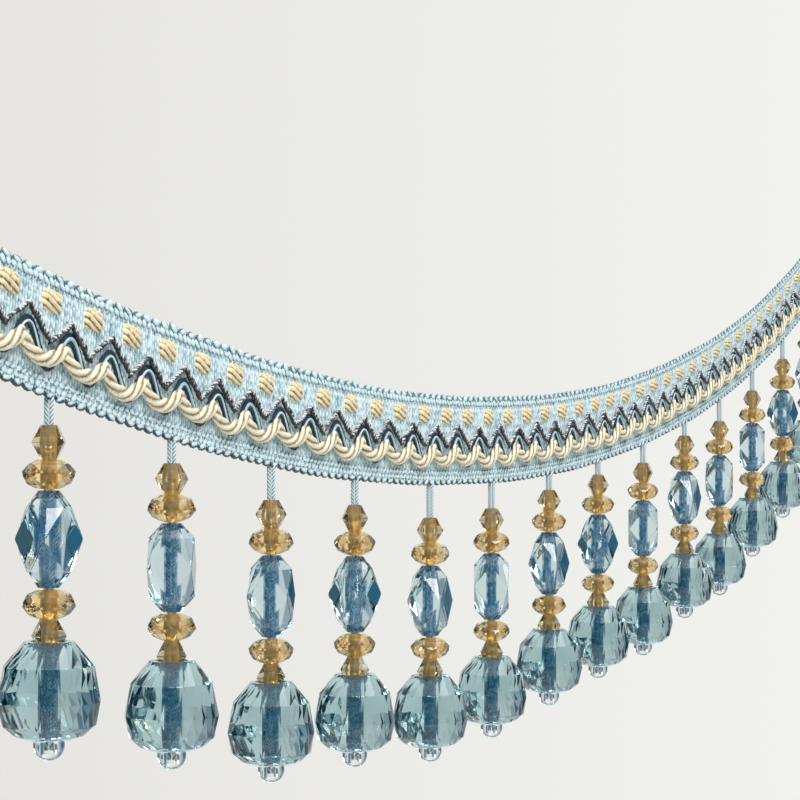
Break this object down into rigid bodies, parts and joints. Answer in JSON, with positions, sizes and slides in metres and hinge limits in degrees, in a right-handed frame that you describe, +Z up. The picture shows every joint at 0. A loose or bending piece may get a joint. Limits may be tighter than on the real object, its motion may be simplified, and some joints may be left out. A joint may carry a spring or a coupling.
{
  "type": "beaded curtain trim",
  "caption": "Woven braid trim with sewn cords, hanging in a shallow swag, with a row of faceted bead drops on cords along its lower edge.",
  "frame": {"origin": "on the tape's top edge, in its flat back plane, near the middle of its length", "axes": "+X along the trim, level; +Z up; the show side faces -Y"},
  "size_m": [0.7735, 0.0206, 0.1693],
  "materials": {
    "braid": "woven rayon, satin",
    "gold_cord": "twisted, silky",
    "navy_cord": "satin",
    "dark_yarn": "metallic twist",
    "hanging_cord": "twisted",
    "amber_acrylic": "clear tinted, polished facets",
    "pale_aqua_acrylic": "clear tinted, polished facets",
    "teal_acrylic": "clear tinted, polished facets",
    "clear_acrylic": "clear, polished"
  },
  "bodies": {
    "root": {"braid_tape": "braid", "gold_scallop_cord": "gold_cord", "navy_wave_cord": "navy_cord", "dark_zigzag_yarn": "dark_yarn", "strand_01": "amber_acrylic", "oval_bead_01": "pale_aqua_acrylic", "dome_bead_01": "teal_acrylic", "stopper_01": "clear_acrylic", "strand_02": "amber_acrylic", "oval_bead_02": "pale_aqua_acrylic", "dome_bead_02": "teal_acrylic", "stopper_02": "clear_acrylic", "strand_03": "amber_acrylic", "oval_bead_03": "pale_aqua_acrylic", "dome_bead_03": "teal_acrylic", "stopper_03": "clear_acrylic", "strand_04": "amber_acrylic", "oval_bead_04": "pale_aqua_acrylic", "dome_bead_04": "teal_acrylic", "stopper_04": "clear_acrylic", "strand_05": "amber_acrylic", "oval_bead_05": "pale_aqua_acrylic", "dome_bead_05": "teal_acrylic", "stopper_05": "clear_acrylic", "strand_06": "amber_acrylic", "oval_bead_06": "pale_aqua_acrylic", "dome_bead_06": "teal_acrylic", "stopper_06": "clear_acrylic", "strand_07": "amber_acrylic", "oval_bead_07": "pale_aqua_acrylic", "dome_bead_07": "teal_acrylic", "stopper_07": "clear_acrylic", "strand_08": "amber_acrylic", "oval_bead_08": "pale_aqua_acrylic", "dome_bead_08": "teal_acrylic", "stopper_08": "clear_acrylic", "strand_09": "amber_acrylic", "oval_bead_09": "pale_aqua_acrylic", "dome_bead_09": "teal_acrylic", "stopper_09": "clear_acrylic", "strand_10": "amber_acrylic", "oval_bead_10": "pale_aqua_acrylic", "dome_bead_10": "teal_acrylic", "stopper_10": "clear_acrylic", "strand_11": "amber_acrylic", "oval_bead_11": "pale_aqua_acrylic", "dome_bead_11": "teal_acrylic", "stopper_11": "clear_acrylic", "strand_12": "amber_acrylic", "oval_bead_12": "pale_aqua_acrylic", "dome_bead_12": "teal_acrylic", "stopper_12": "clear_acrylic", "strand_13": "amber_acrylic", "oval_bead_13": "pale_aqua_acrylic", "dome_bead_13": "teal_acrylic", "stopper_13": "clear_acrylic", "strand_14": "amber_acrylic", "oval_bead_14": "pale_aqua_acrylic", "dome_bead_14": "teal_acrylic", "stopper_14": "clear_acrylic"}
  },
  "joints": []
}
